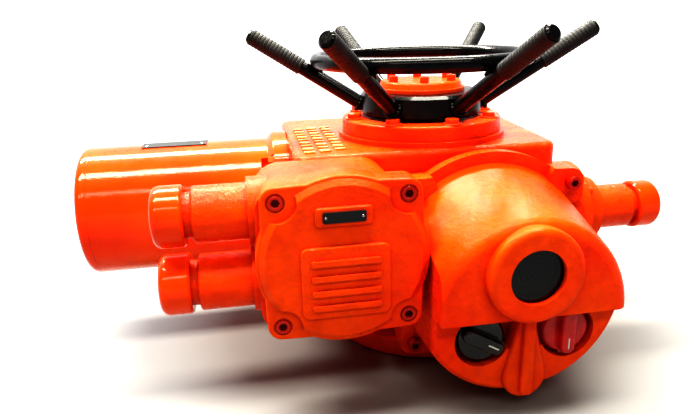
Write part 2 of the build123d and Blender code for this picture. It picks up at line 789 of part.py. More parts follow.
def gland_places():
    """Direction and seat of each gland: two on the terminal box, one on the right."""
    left = [("-x", (TERMINAL_LEFT - 5, LEFT_GLAND_Y, z)) for z in LEFT_GLAND_Z]
    return left + [("+x", (RIGHT_GLAND_X + 24, *RIGHT_GLAND_AT))]


def adapter_screw_points():
    return [polar(41.0, 45 + 90 * k, RIGHT_GLAND_AT) for k in range(4)]


def right_gland_adapter():
    """Round adapter bolted on the housing's side boss."""
    points = [(16, 0), (46, 0), (46, 6), (36, 12), (36, 24), (16, 24)]
    body = turned("+x", points, (RIGHT_GLAND_X, *RIGHT_GLAND_AT))
    for at in adapter_screw_points():
        body -= disc("x", 2.5, RIGHT_GLAND_X, RIGHT_GLAND_X + 24, at)
        body -= disc("x", 4.5, RIGHT_GLAND_X + 6, RIGHT_GLAND_X + 24, at)
    return body


# ---- Control compartment ----
def control_mount_points():
    return [(x, z) for x in (0.0, 84.0) for z in (100.0, 190.0)]


def control_bolt_points():
    return square(CONTROL_BOLT, CONTROL_AT)


def control_outline():
    """Round flange with four ears, cut flat beside the terminal box."""
    outline = eared_outline(CONTROL_AT, CONTROL_FLANGE_R, control_bolt_points(), 92, CONTROL_EAR_R)
    right_half = Pos(FAR / 2 + CONTROL_FLANGE_LEFT, CONTROL_AT[1]) * Rectangle(FAR, FAR)
    return outline & right_half


def control_housing():
    """Back plate and flange that carry the control compartment on the gearbox."""
    x, z = CONTROL_AT
    body = prism("y", control_outline(), CONTROL_BACK, CONTROL_FACE)
    back = disc("y", 96, HOUSING_FRONT, CONTROL_BACK, CONTROL_AT)
    body += back & slab((-52, -FAR, 30), (FAR, FAR, FAR))
    body -= prism("y", control_mouth(), CONTROL_FLOOR, CONTROL_FACE)
    body -= control_seal()
    for at in control_bolt_points():
        body -= disc("y", 4.0, CONTROL_BACK, CONTROL_FACE, at)
    for at in control_mount_points():
        body -= disc("y", 4.0, HOUSING_FRONT, CONTROL_FLOOR, at)
    return body


def control_mouth():
    """Opening between the compartment's two halves, flat beside the terminal box."""
    half = Pos(DOME_LEFT + DOME_WALL + FAR / 2, CONTROL_AT[1]) * Rectangle(FAR, FAR)
    return (Pos(*CONTROL_AT) * Circle(MOUTH_R)) & half


def control_seal():
    """Cord seal that follows the opening's edge."""
    ring = offset(control_mouth(), 5.0) - offset(control_mouth(), 2.5)
    return prism("y", ring, CONTROL_FACE + 2.2, CONTROL_FACE)


def knob_places():
    return [(KNOB_MIDDLE - KNOB_OFFSET, KNOB_Z), (KNOB_MIDDLE + KNOB_OFFSET, KNOB_Z)]


def dome():
    """Sloped upper half of the cover, down to the ledge."""
    x, z = CONTROL_AT
    root = Plane.XZ.offset(-CONTROL_FACE) * (Pos(x, z) * Circle(DOME_R))
    nose = Plane.XZ.offset(-UPPER_FRONT) * (Pos(x, UPPER_Z) * Circle(UPPER_R))
    shape = loft([root, nose], ruled=True)
    shape = fillet(shape.edges().group_by(Axis.Y)[0], NOSE_EDGE)
    return shape & slab((-FAR, -FAR, LEDGE_Z), (FAR, FAR, FAR))


def lower_front():
    """Lower half of the cover, set back under the ledge."""
    x, z = CONTROL_AT
    points = [
        (0, -CONTROL_FACE),
        (DOME_R, -CONTROL_FACE),
        (LOWER_R, -LOWER_FRONT - 4),
        (LOWER_R - 4, -LOWER_FRONT),
        (0, -LOWER_FRONT),
    ]
    return turned("-y", points, (x, 0, z)) & slab((-FAR, -FAR, -FAR), (FAR, FAR, LEDGE_Z))


def window_boss():
    back = -LOWER_FRONT - 20
    profile = rounded(WINDOW_BOSS_R, -WINDOW_BOSS_FRONT - back, 5)
    return turned("-y", profile, (WINDOW_AT[0], -back, WINDOW_AT[1]))


def middle_rib():
    """Rib between the two knobs, on a web that widens into a rounded foot under the lower rim."""
    bottom = CONTROL_AT[1] - LOWER_R
    front = UPPER_FRONT + 3
    rib = slab((KNOB_MIDDLE - RIB_HALF, front, bottom), (KNOB_MIDDLE + RIB_HALF, -190, LEDGE_Z + 4), 4, "y")
    rib = fillet(rib.edges().group_by(Axis.Y)[0], 3)
    foot_at = (KNOB_MIDDLE, bottom + RIB_FOOT_R - RIB_FOOT_DROP)
    outline = Pos(*foot_at) * Circle(RIB_FOOT_R)
    outline += ear_web(foot_at, (KNOB_MIDDLE, LEDGE_Z), RIB_FOOT_R, RIB_HALF)
    web = prism("y", outline, LOWER_FRONT - 5, CONTROL_FACE - 10)
    return rib + fillet(web.edges().group_by(Axis.Y)[0], 4)


def knob_pocket(at):
    """Round pocket behind a knob, widened towards the rib."""
    outline = Pos(*at) * Circle(POCKET_R)
    outline += Pos((KNOB_MIDDLE + at[0]) / 2, KNOB_Z + 5) * Rectangle(KNOB_OFFSET, 2 * POCKET_R - 18)
    return prism("y", outline, LOWER_FRONT + POCKET_DEPTH, UPPER_FRONT - 1)


def control_cover():
    """Domed cover: sloped upper part with a window boss, ledge, and lower disc with knob pockets."""
    x, z = CONTROL_AT
    ear_front = CONTROL_FACE - 9
    body = dome() + lower_front() + window_boss()
    ears = prism("y", control_outline(), ear_front, CONTROL_FACE)
    for at in control_bolt_points():
        body += ears & disc("y", 22, ear_front, CONTROL_FACE, at)
    body &= slab((CONTROL_FLANGE_LEFT + 1, -FAR, -FAR), (FAR, FAR, FAR))
    body -= slab((-FAR, -FAR, -FAR), (DOME_LEFT, ear_front, FAR))
    below = slab((-FAR, -FAR, -FAR), (FAR, FAR, LEDGE_Z))
    for at in knob_places():
        body -= knob_pocket(at) & below
        body -= disc("y", KNOB_SHAFT_R, CONTROL_FACE, UPPER_FRONT, at) & below
    body += middle_rib()
    points = [(0, -CONTROL_FACE), (MOUTH_R, -CONTROL_FACE), (72, 178), (0, 178)]
    cavity = turned("-y", points, (x, 0, z))
    body -= cavity & slab((DOME_LEFT + DOME_WALL, -FAR, -FAR), (FAR, FAR, FAR))
    body -= disc("y", WINDOW_R, WINDOW_BOSS_FRONT, GLASS_FRONT, WINDOW_AT)
    body -= disc("y", WINDOW_R + 5, GLASS_FRONT, -170, WINDOW_AT)
    for at in control_bolt_points():
        body -= disc("y", 4.2, ear_front, CONTROL_FACE, at)
        body -= disc("y", 8.0, UPPER_FRONT, ear_front, at)
    return body


def window_glass():
    return disc("y", WINDOW_R + 4.9, GLASS_FRONT, GLASS_FRONT + GLASS_T, WINDOW_AT)


def window_ring():
    """Ring that clamps the glass from inside the cover."""
    back = GLASS_FRONT + GLASS_T
    return tube("y", WINDOW_R + 4.9, WINDOW_R - 2, back, back + 7, WINDOW_AT)


def dial_disc():
    """Position dial behind the window."""
    return disc("y", 20, -186, -184, WINDOW_AT) - disc("y", 3, -186, -184, WINDOW_AT)


def dial_shaft():
    return disc("y", 3, -187, -134, WINDOW_AT)


def position_unit():
    """Housing of the position drive, on the compartment's back plate."""
    x, z = WINDOW_AT
    return slab((x - 30, -134, z - 26), (x + 30, CONTROL_FLOOR, z + 26), 4, "y")


def control_board():
    """Main circuit board on the back plate's pillars."""
    x, z = CONTROL_AT
    board = slab((x - 52, -148, z - 44), (x + 52, -146, z + 50), 4, "y")
    return board - disc("y", 6, -148, -146, WINDOW_AT)


def contactor():
    x, z = CONTROL_AT
    return slab((x - 46, -140, z - 60), (x + 46, CONTROL_FLOOR, z - 4), 4, "y")


def knob(at, turn):
    """Round knob with a thick grip bar across it and a pointer nose, turned about its shaft."""
    back = LOWER_FRONT + POCKET_DEPTH
    body = turned("-y", rounded(KNOB_R, KNOB_DISC_T, 3.5), (0, -0.5, 0))
    front = -KNOB_DISC_T - KNOB_BAR_T
    half, end = KNOB_BAR_HALF, KNOB_R - 1.5
    bar = slab((-half, front, -end), (half, -KNOB_DISC_T + 2, end), half - 0.2, "y")
    bar = fillet(bar.edges().group_by(Axis.Y)[0], 2.5)
    nose = slab((-half, -KNOB_DISC_T, -KNOB_REACH), (half, -2, 0), half - 0.2, "y")
    solid = body + bar + nose - disc("y", 6, -6, 0)
    return Pos(at[0], back, at[1]) * Rot(0, turn, 0) * solid


def knob_shaft(at):
    back = LOWER_FRONT + POCKET_DEPTH
    head = disc("y", 6, back - 6, back - 0.5, at)
    return head + disc("y", KNOB_SHAFT_R - RUN_GAP, back - 0.5, -158, at)


PARTS = {}


def add(name, shape):
    """Keep a sub-part under its node name; a list becomes one node of separate solids."""
    PARTS[name] = Compound(children=list(shape)) if isinstance(shape, list) else shape


def build():
    add("base_flange", base_flange())
    add("base_neck", base_neck())
    add("gearbox_housing", gearbox_housing())
    add("bonnet", bonnet())
    add("drive_sleeve", drive_sleeve())
    add("stem_nut", stem_nut())
    add("worm_wheel", worm_wheel())
    add("worm", worm())
    add("clutch_ring", clutch_ring())
    add("main_bearings", main_bearings())
    add("lower_seal", lower_seal())
    add("lever_shaft", lever_shaft())
    add("lever_arm", lever_arm())
    add("lever_knob", lever_knob())
    add("motor_shell", motor_shell())
    add("motor_end_cap", motor_end_cap())
    add("motor_shield", motor_shield())
    add("motor_bearings", motor_bearings())
    add("stator_core", stator_core())
    add("stator_windings", stator_windings())
    add("rotor_core", rotor_core())
    add("motor_shaft", motor_shaft())
    add("rating_plate", rating_plate())
    add("handwheel_hub", handwheel_hub())
    add("handwheel_sleeve", handwheel_sleeve())
    add("handwheel_rods", handwheel_rods())
    add("handwheel_grips", handwheel_grips())
    add("handwheel_ring", handwheel_ring())
    add("stem_cap", stem_cap())
    add("terminal_box", terminal_box())
    add("terminal_cover", terminal_cover())
    add("terminal_seal", terminal_seal())
    add("terminal_label", terminal_label())
    add("terminal_block", terminal_block())
    add("terminal_studs", terminal_studs())
    add("control_housing", control_housing())
    add("control_seal", control_seal())
    add("control_cover", control_cover())
    add("window_glass", window_glass())
    add("window_ring", window_ring())
    add("dial_disc", dial_disc())
    add("dial_shaft", dial_shaft())
    add("position_unit", position_unit())
    add("control_board", control_board())
    add("contactor", contactor())
    for name, at, turn in zip(("selector", "command"), knob_places(), (-60, 0)):
        add(f"{name}_knob", knob(at, turn))
        add(f"{name}_shaft", knob_shaft(at))
    add("right_gland_adapter", right_gland_adapter())
    makers = {"gland_bodies": gland_body, "gland_nuts": gland_nut, "gland_seals": gland_seal}
    for name, make in makers.items():
        add(name, [make(*place, GLAND_CORE) for place in gland_places()])
    add("base_screws", [socket_screw(10, 18, "-z", (*at, NECK_TOP)) for at in base_screw_points()])
    add("bonnet_screws", [hex_screw(8, 27, "+z", (*at, BONNET_TOP)) for at in bonnet_screw_points()])
    add("cap_screws", [socket_screw(6, 10, "+z", (*at, CAP_TOP)) for at in cap_screw_points()])
    add("motor_screws", [hex_screw(10, 22, "-x", (MOTOR_FLANGE_LEFT, *at)) for at in motor_screw_points()])
    add("adapter_screws", [
        socket_screw(5, 15, "+x", (RIGHT_GLAND_X + 6, *at)) for at in adapter_screw_points()
    ])
    add("terminal_screws", [
        socket_screw(8, 18, "-y", (x, TERMINAL_FACE - 7, z)) for x, z in terminal_bolt_points()
    ])
    add("control_screws", [
        socket_screw(8, 18, "-y", (x, CONTROL_FACE - 9, z)) for x, z in control_bolt_points()
    ])


build()
os.makedirs("parts", exist_ok=True)
for node, shape in PARTS.items():
    export_step(shape, f"parts/{node}.step")
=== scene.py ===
"""Looks for the motorized valve actuator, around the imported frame. Lengths are in metres."""

import math
import random

import bmesh
import bpy
from mathutils import Matrix, Vector


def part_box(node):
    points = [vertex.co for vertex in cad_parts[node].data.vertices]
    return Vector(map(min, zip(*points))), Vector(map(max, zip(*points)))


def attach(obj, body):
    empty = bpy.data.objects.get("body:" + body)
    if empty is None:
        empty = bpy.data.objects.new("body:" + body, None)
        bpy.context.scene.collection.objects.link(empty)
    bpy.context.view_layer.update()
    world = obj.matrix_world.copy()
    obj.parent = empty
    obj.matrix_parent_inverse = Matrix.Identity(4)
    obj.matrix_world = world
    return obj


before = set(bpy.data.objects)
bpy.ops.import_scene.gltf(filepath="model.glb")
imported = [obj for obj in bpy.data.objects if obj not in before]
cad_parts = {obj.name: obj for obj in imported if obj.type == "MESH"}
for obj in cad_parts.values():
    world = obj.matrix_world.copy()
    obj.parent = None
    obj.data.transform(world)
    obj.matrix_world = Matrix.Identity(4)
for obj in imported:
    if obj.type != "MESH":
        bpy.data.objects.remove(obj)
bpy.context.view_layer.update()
random.seed(7)

# ---- Camera: turns in degrees, lens and sensor in millimetres ----
CAMERA_AT = (-0.1861, -0.6327, 0.3433)
CAMERA_YAW = -9.182
CAMERA_PITCH = 72.407
CAMERA_ROLL = -1.658
CAMERA_LENS = 30.856403
CAMERA_SENSOR = 36.0

# ---- Studio ----
LIGHT_REACH = 2.0
LIGHT_LENGTH = 2.6
WARM_WHITE = (1.0, 0.96, 0.84)
# elevation in degrees from the front horizon, width, power
STRIPS = ((121.0, 0.26, 112.0), (79.0, 0.34, 82.0), (44.0, 0.18, 13.0))
FLOOR_R = 0.66
FLOOR_CLEAR_R = 0.22
FLOOR_SHADES = ((0.23, 0.23, 0.23), (0.22, 0.22, 0.22))
FLOOR_DROP = 0.0005
# axis, where the band starts and ends along it, strength before the start and after the end
SURROUND = (("Y", 0.0, 0.7, 0.04, 1.05), ("Z", 0.04, 0.22, 0.50, 0.0))

# ---- Object dimensions used for the detail pieces ----
HUB_R = 0.065
ROD_ROOT = (0.060, 0.251)
ROD_TIP = (0.183, 0.329)
ROD_SLOPE = (ROD_TIP[1] - ROD_ROOT[1]) / (ROD_TIP[0] - ROD_ROOT[0])
ROD_R = 0.0075
ROD_COUNT = 6
ROD_PHASE = -11.0
RING_R = 0.111
BONNET_SCREW_R = 0.076
BONNET_SCREW_COUNT = 8
BONNET_SCREW_PHASE = 8.0
BONNET_TOP = 0.241
HOUSING_TOP = 0.221
MOTOR_AT = (-0.26, 0.055, 0.142)
PLATE_R = 0.0722
PLATE_X = (-0.305, -0.235)
PLATE_TILTS = (-6.0, 23.0)
TERMINAL_AT = (-0.117, 0.153)
TERMINAL_BOLT = 0.054
RIM_FRONT = -0.185
LABEL_AT = (-0.1175, 0.194)
LABEL_FRONT = -0.1937
WINDOW_AT = (0.035, 0.139)
WINDOW_BORE_R = 0.029
DIAL_FRONT = -0.186
# place in X and Z, turn of the grip bar in degrees, material slot
KNOBS = {"selector": (-0.001, 0.073, -60.0, "knob_black"), "command": (0.078, 0.073, 0.0, "knob_red")}

# ---- Sizes of the detail pieces ----
SINK = 0.0001
HUB_WELD_OUT = 0.001
HUB_WELD_GAP = 0.0004
HUB_WELD_THICK = 0.0021
RING_WELD_R = 0.0042
RING_WELD_THICK = 0.0018
RING_WELD_RIPPLES = 10
WASHER_BORE = 0.0052
WASHER_R = 0.0096
WASHER_T = 0.0013
COLLAR_BORE = 0.0064
COLLAR_R = 0.0074
COLLAR_T = 0.0014
COLLAR_SINK = 0.0018
# radius and height of the two kinds of rivet head
PLATE_RIVET = (0.0019, 0.0010)
LABEL_RIVET = (0.0012, 0.0007)
PLATE_RIVET_INSET = 0.005
PLATE_RIVET_SINK = 0.0002
LABEL_RIVET_X = 0.0150
RIVET_STEPS = 20
RIVET_PINHOLE = 0.0002
MARKS_AT = (-0.131, -0.074)
MARKS_PITCH = 0.0155
MARKS_STAGGER = 0.004
MARK_ROWS = 3
MARKS_IN_ROW = 9
MARK_LENGTH = 0.011
MARK_WIDTHS = (0.0055, 0.0085)
MARK_HEIGHT = 0.0032
MARK_TILT = 5
TICK_COUNT = 24
TICKS_PER_QUARTER = 6
TICK_OUTER_R = 0.0185
# width and length
LONG_TICK = (0.0011, 0.0050)
SHORT_TICK = (0.0007, 0.0028)
TICK_T = 0.0005
TICK_RAISE = 0.0001
POINTER_SIZE = (0.0018, 0.0008, 0.0170)
POINTER_GAP = 0.0025
KNOB_LINE_SIZE = (0.0014, 0.0006, 0.011)
KNOB_LINE_OUT = 0.010


# ---- Shader nodes ----
# the colour sockets of a Mix node, which share their names with its other kinds
MIX_A = 6
MIX_B = 7
MIX_RESULT = 2


class Shader:
    """One Principled material, with short ways to add the nodes behind it."""

    def __init__(self, name, **sockets):
        self.material = bpy.data.materials.new(name)
        self.material.use_nodes = True
        self.tree = self.material.node_tree
        self.tree.nodes.clear()
        self.bsdf = self.add("ShaderNodeBsdfPrincipled")
        output = self.add("ShaderNodeOutputMaterial")
        self.tree.links.new(self.bsdf.outputs["BSDF"], output.inputs["Surface"])
        self.place = self.add("ShaderNodeTexCoord").outputs["Object"]
        for socket, value in sockets.items():
            self.bsdf.inputs[socket.replace("_", " ")].default_value = value

    def add(self, kind, **settings):
        node = self.tree.nodes.new(kind)
        for key, value in settings.items():
            setattr(node, key, value)
        return node

    def feed(self, socket, value):
        """Links a socket to another node's output, or sets its own number or colour."""
        if isinstance(value, bpy.types.NodeSocket):
            self.tree.links.new(value, socket)
        elif isinstance(value, tuple) and len(value) == 3 and socket.type == "RGBA":
            socket.default_value = (*value, 1)
        else:
            socket.default_value = value

    def drive(self, socket, value):
        self.feed(self.bsdf.inputs[socket], value)

    def stretched(self, scale):
        """The place, scaled by its own amount along each axis."""
        node = self.add("ShaderNodeVectorMath", operation="MULTIPLY")
        self.feed(node.inputs[0], self.place)
        node.inputs[1].default_value = scale
        return node.outputs["Vector"]

    def noise(self, scale, detail=3.0, roughness=0.55, place=None):
        node = self.add("ShaderNodeTexNoise")
        self.feed(node.inputs["Vector"], place or self.place)
        node.inputs["Scale"].default_value = scale
        node.inputs["Detail"].default_value = detail
        node.inputs["Roughness"].default_value = roughness
        return node.outputs["Fac"]

    def cells(self, scale):
        node = self.add("ShaderNodeTexVoronoi")
        self.feed(node.inputs["Vector"], self.place)
        node.inputs["Scale"].default_value = scale
        return node.outputs["Distance"]

    def waves(self, scale, axis, distortion=0.0):
        node = self.add("ShaderNodeTexWave", bands_direction=axis)
        self.feed(node.inputs["Vector"], self.place)
        node.inputs["Scale"].default_value = scale
        node.inputs["Distortion"].default_value = distortion
        return node.outputs["Fac"]

    def span(self, value, low, high, to_low=0.0, to_high=1.0):
        node = self.add("ShaderNodeMapRange")
        self.feed(node.inputs["Value"], value)
        node.inputs["From Min"].default_value = low
        node.inputs["From Max"].default_value = high
        node.inputs["To Min"].default_value = to_low
        node.inputs["To Max"].default_value = to_high
        return node.outputs["Result"]

    def maths(self, operation, a, b):
        node = self.add("ShaderNodeMath", operation=operation)
        self.feed(node.inputs[0], a)
        self.feed(node.inputs[1], b)
        return node.outputs["Value"]

    def mix(self, share, a, b):
        node = self.add("ShaderNodeMix", data_type="RGBA")
        self.feed(node.inputs["Factor"], share)
        self.feed(node.inputs[MIX_A], a)
        self.feed(node.inputs[MIX_B], b)
        return node.outputs[MIX_RESULT]

    def rounded(self, radius):
        """Normal of edges that look rounded by a radius."""
        node = self.add("ShaderNodeBevel", samples=4)
        node.inputs["Radius"].default_value = radius
        return node.outputs["Normal"]

    def edges(self, rounded_normal):
        """1 where the rounded normal leaves the face's own, 0 on open faces."""
        node = self.add("ShaderNodeVectorMath", operation="DOT_PRODUCT")
        self.feed(node.inputs[0], rounded_normal)
        self.feed(node.inputs[1], self.add("ShaderNodeNewGeometry").outputs["Normal"])
        return self.span(node.outputs["Value"], 0.75, 0.99, 1.0, 0.0)

    def painted_shade_mask(self, distance):
        """1 in tight corners, 0 on open faces: the mask for painted shade in corners."""
        node = self.add("ShaderNodeAmbientOcclusion", samples=4)
        node.inputs["Distance"].default_value = distance
        return self.span(node.outputs["AO"], 0.35, 0.9, 1.0, 0.0)

    def bump(self, height, distance, normal=None):
        node = self.add("ShaderNodeBump")
        self.feed(node.inputs["Height"], height)
        node.inputs["Distance"].default_value = distance
        if normal is not None:
            self.feed(node.inputs["Normal"], normal)
        return node.outputs["Normal"]


# ---- Materials ----
BARE_METAL = (0.16, 0.15, 0.14)


def enamel(name, deep, main, light, cast, peel, coat, coat_rough, patchy):
    """Sprayed gloss enamel: drifting colour, worn edges, chips, painted shade in corners, cast skin
    beneath.
    """
    s = Shader(name, Coat_Weight=coat, Coat_Roughness=coat_rough, Coat_IOR=1.35, Specular_IOR_Level=0.05)
    drift = s.span(s.noise(9.0, 2.0), 0.35, 0.65)
    mottle = s.span(s.noise(70.0, 5.0), 0.38, 0.66)
    colour = s.mix(drift, main, light)
    colour = s.mix(s.maths("MULTIPLY", mottle, patchy), colour, deep)
    # painted shade: the paint is darkened towards the deep colour in corners and recesses
    colour = s.mix(s.maths("MULTIPLY", s.painted_shade_mask(0.010), 0.55), colour, deep)
    soft = s.rounded(0.0011)
    broken = s.span(s.noise(330.0, 4.0), 0.60, 0.66)
    worn = s.maths("MULTIPLY", s.edges(soft), broken)
    specks = s.span(s.cells(120.0), 0.030, 0.045, 1.0, 0.0)
    worn = s.maths("MAXIMUM", worn, s.maths("MULTIPLY", specks, 0.7))
    s.drive("Base Color", s.mix(worn, colour, BARE_METAL))
    s.drive("Roughness", s.span(s.noise(140.0, 3.0), 0.3, 0.75, 0.22, 0.42))
    orange_peel = s.bump(s.noise(420.0, 2.0), peel, soft)
    skin = s.bump(s.noise(190.0, 6.0, 0.62), cast, orange_peel)
    s.drive("Normal", skin)
    s.drive("Coat Normal", skin)
    return s.material


def black_enamel():
    """Black stove enamel with dust and bare edges."""
    s = Shader("black_enamel", Coat_Weight=0.28, Coat_Roughness=0.08, Specular_IOR_Level=0.1)
    dust = s.span(s.noise(45.0, 6.0), 0.5, 0.8, 0.0, 0.35)
    colour = s.mix(dust, (0.006, 0.006, 0.007), (0.030, 0.028, 0.026))
    soft = s.rounded(0.0008)
    worn = s.maths("MULTIPLY", s.edges(soft), s.span(s.noise(260.0, 4.0), 0.62, 0.68))
    s.drive("Base Color", s.mix(worn, colour, (0.22, 0.21, 0.20)))
    s.drive("Roughness", s.span(s.noise(110.0, 5.0), 0.3, 0.7, 0.16, 0.40))
    s.drive("Normal", s.bump(s.noise(240.0, 4.0), 0.0002, soft))
    return s.material


def machined(name, colour, dark, stretch, rough):
    """Turned or ground metal with tool marks along one direction."""
    s = Shader(name, Metallic=1.0, Anisotropic=0.4)
    marks = s.noise(1.0, 4.0, 0.7, s.stretched(stretch))
    stain = s.span(s.noise(60.0, 4.0), 0.45, 0.75)
    tone = s.mix(s.span(marks, 0.3, 0.7), colour, dark)
    s.drive("Base Color", s.mix(s.maths("MULTIPLY", stain, 0.4), tone, dark))
    s.drive("Roughness", s.span(marks, 0.25, 0.75, rough, rough + 0.18))
    s.drive("Normal", s.bump(marks, 0.00008, s.rounded(0.0004)))
    return s.material


def moulded(name, colour, dark, rough, grain, gloss=0.0):
    """Moulded plastic or rubber with a fine grain and a little dust."""
    s = Shader(name, Coat_Weight=gloss, Coat_Roughness=0.08)
    dust = s.span(s.noise(55.0, 5.0), 0.42, 0.78)
    s.drive("Base Color", s.mix(dust, dark, colour))
    s.drive("Roughness", s.span(s.noise(160.0, 3.0), 0.3, 0.7, rough, rough + 0.15))
    s.drive("Normal", s.bump(s.noise(900.0, 2.0), grain, s.rounded(0.0006)))
    return s.material


def laminated():
    """Stack of thin electrical sheets across X, seen on edge."""
    s = Shader("laminated_steel", Metallic=0.9)
    sheets = s.waves(300.0, "X")
    s.drive("Base Color", s.mix(sheets, (0.10, 0.105, 0.115), (0.34, 0.35, 0.37)))
    s.drive("Roughness", s.span(s.noise(120.0), 0.3, 0.7, 0.35, 0.6))
    s.drive("Normal", s.bump(sheets, 0.0003))
    return s.material


def copper_wire():
    """Varnished winding wire."""
    s = Shader("copper_wire", Metallic=0.85, Coat_Weight=0.6, Coat_Roughness=0.15)
    strands = s.waves(160.0, "DIAGONAL", 2.5)
    colour = s.mix(strands, (0.16, 0.045, 0.015), (0.62, 0.24, 0.09))
    s.drive("Base Color", colour)
    s.drive("Roughness", s.span(s.noise(80.0), 0.3, 0.7, 0.3, 0.5))
    s.drive("Normal", s.bump(strands, 0.0006))
    return s.material


def circuit_board():
    """Green solder mask over faint copper tracks."""
    s = Shader("circuit_board", Coat_Weight=0.5, Coat_Roughness=0.2)
    tracks = s.span(s.cells(160.0), 0.42, 0.5)
    s.drive("Base Color", s.mix(tracks, (0.012, 0.11, 0.045), (0.05, 0.24, 0.09)))
    s.drive("Roughness", s.span(s.noise(90.0), 0.3, 0.7, 0.3, 0.5))
    s.drive("Normal", s.bump(tracks, 0.0001))
    return s.material


def anodised_plate():
    """Dark blank plate, brushed and scratched."""
    s = Shader("anodised_plate", Metallic=0.3, Specular_IOR_Level=0.3)
    brushed = s.noise(1.0, 4.0, 0.7, s.stretched((40.0, 900.0, 900.0)))
    scratches = s.span(s.noise(1.0, 5.0, 0.75, s.stretched((900.0, 60.0, 60.0))), 0.66, 0.72)
    colour = s.mix(brushed, (0.020, 0.022, 0.024), (0.050, 0.052, 0.056))
    s.drive("Base Color", s.mix(scratches, colour, (0.30, 0.30, 0.29)))
    s.drive("Roughness", s.span(brushed, 0.3, 0.7, 0.40, 0.60))
    s.drive("Normal", s.bump(brushed, 0.00005))
    return s.material


def window_glass():
    """Thick smoked sight glass with faint smears."""
    s = Shader("window_glass", Transmission_Weight=1.0, IOR=1.5, Base_Color=(0.10, 0.13, 0.13, 1))
    smears = s.noise(70.0, 5.0)
    s.drive("Roughness", s.span(smears, 0.4, 0.8, 0.02, 0.16))
    s.drive("Normal", s.bump(s.noise(40.0, 2.0), 0.00005))
    return s.material


# colour of the patches and of the painted shade in corners, and the two colours that the paint drifts
# between
ORANGE = {"deep": (0.42, 0.009, 0.002), "main": (0.88, 0.052, 0.0010), "light": (0.93, 0.098, 0.0012)}
# paler orange for the foundry bars: a painted highlight standing in for the glints on them
MARK_GLINT = {"deep": (0.88, 0.090, 0.0030), "main": (0.95, 0.170, 0.0150), "light": (0.97, 0.300, 0.0800)}
SCREW = {"deep": (0.10, 0.004, 0.003), "main": (0.42, 0.016, 0.006), "light": (0.60, 0.030, 0.008)}
# depths of the cast skin and of the orange peel, strength and roughness of the gloss, amount of patches
CAST = {"cast": 0.00080, "peel": 0.00012, "coat": 0.38, "coat_rough": 0.20, "patchy": 0.24}
COARSE = {"cast": 0.00110, "peel": 0.00012, "coat": 0.52, "coat_rough": 0.09, "patchy": 0.24}
SMOOTH = {"cast": 0.00006, "peel": 0.00008, "coat": 0.85, "coat_rough": 0.045, "patchy": 0.08}
MATERIALS = {
    "cast_orange": enamel("cast_orange", **ORANGE, **CAST),
    "coarse_orange": enamel("coarse_orange", **ORANGE, **COARSE),
    "smooth_orange": enamel("smooth_orange", **ORANGE, **SMOOTH),
    "screw_orange": enamel("screw_orange", **SCREW, **SMOOTH),
    "mark_glint_orange": enamel("mark_glint_orange", **MARK_GLINT, **SMOOTH),
    "black_enamel": black_enamel(),
    "steel": machined("steel", (0.56, 0.57, 0.59), (0.30, 0.30, 0.32), (60.0, 60.0, 1400.0), 0.22),
    "bearing_steel": machined(
        "bearing_steel", (0.64, 0.65, 0.67), (0.42, 0.43, 0.45), (1200.0, 90.0, 90.0), 0.14
    ),
    "bronze": machined("bronze", (0.62, 0.40, 0.16), (0.34, 0.19, 0.07), (80.0, 80.0, 1100.0), 0.25),
    "brass": machined("brass", (0.78, 0.58, 0.22), (0.48, 0.32, 0.10), (90.0, 1200.0, 90.0), 0.2),
    "laminated": laminated(),
    "copper": copper_wire(),
    "board": circuit_board(),
    "plate": anodised_plate(),
    "glass": window_glass(),
    "rubber": moulded("rubber", (0.035, 0.034, 0.033), (0.012, 0.012, 0.012), 0.62, 0.0001),
    "grip_rubber": moulded("grip_rubber", (0.020, 0.019, 0.019), (0.006, 0.006, 0.007), 0.50, 0.0001),
    "moulding": moulded("moulding", (0.14, 0.14, 0.15), (0.07, 0.07, 0.075), 0.45, 0.00008),
    "knob_black": moulded("knob_black", (0.010, 0.010, 0.010), (0.003, 0.003, 0.004), 0.16, 0.00004, 0.6),
    "knob_red": moulded("knob_red", (0.74, 0.014, 0.010), (0.46, 0.005, 0.005), 0.30, 0.00004, 0.35),
    "dial_black": moulded("dial_black", (0.020, 0.022, 0.022), (0.010, 0.011, 0.011), 0.5, 0.00004),
    "pale_ink": moulded("pale_ink", (0.80, 0.79, 0.74), (0.60, 0.59, 0.55), 0.5, 0.00003),
}
LOOKS = {
    "cast_orange": (
        "base_flange", "base_neck", "bonnet", "terminal_cover", "control_housing", "control_cover",
        "stem_cap", "right_gland_adapter",
    ),
    "coarse_orange": ("gearbox_housing", "terminal_box", "gland_bodies"),
    "smooth_orange": (
        "motor_shell", "motor_end_cap", "gland_nuts", "lever_arm", "bonnet_screws", "base_screws",
        "motor_screws", "adapter_screws", "cap_screws",
    ),
    "screw_orange": ("terminal_screws", "control_screws"),
    "black_enamel": ("handwheel_hub", "handwheel_rods", "handwheel_ring"),
    "grip_rubber": ("handwheel_grips",),
    "steel": (
        "handwheel_sleeve", "drive_sleeve", "clutch_ring", "worm", "motor_shaft", "lever_shaft",
        "motor_shield", "selector_shaft", "command_shaft", "dial_shaft",
    ),
    "bearing_steel": ("main_bearings", "motor_bearings"),
    "bronze": ("worm_wheel", "stem_nut"),
    "brass": ("terminal_studs",),
    "laminated": ("stator_core", "rotor_core"),
    "copper": ("stator_windings",),
    "board": ("control_board",),
    "plate": ("rating_plate", "terminal_label"),
    "glass": ("window_glass",),
    "rubber": ("lower_seal", "terminal_seal", "control_seal", "gland_seals"),
    "moulding": ("window_ring", "position_unit", "contactor", "terminal_block"),
    "knob_black": ("selector_knob", "lever_knob"),
    "knob_red": ("command_knob",),
    "dial_black": ("dial_disc",),
}


def dress_frame():
    """Gives each CAD node its material."""
    dressed = set()
    for look, names in LOOKS.items():
        for name in names:
            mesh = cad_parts[name].data
            mesh.materials.clear()
            mesh.materials.append(MATERIALS[look])
            dressed.add(name)
    assert dressed == set(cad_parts), "each CAD node has one look"


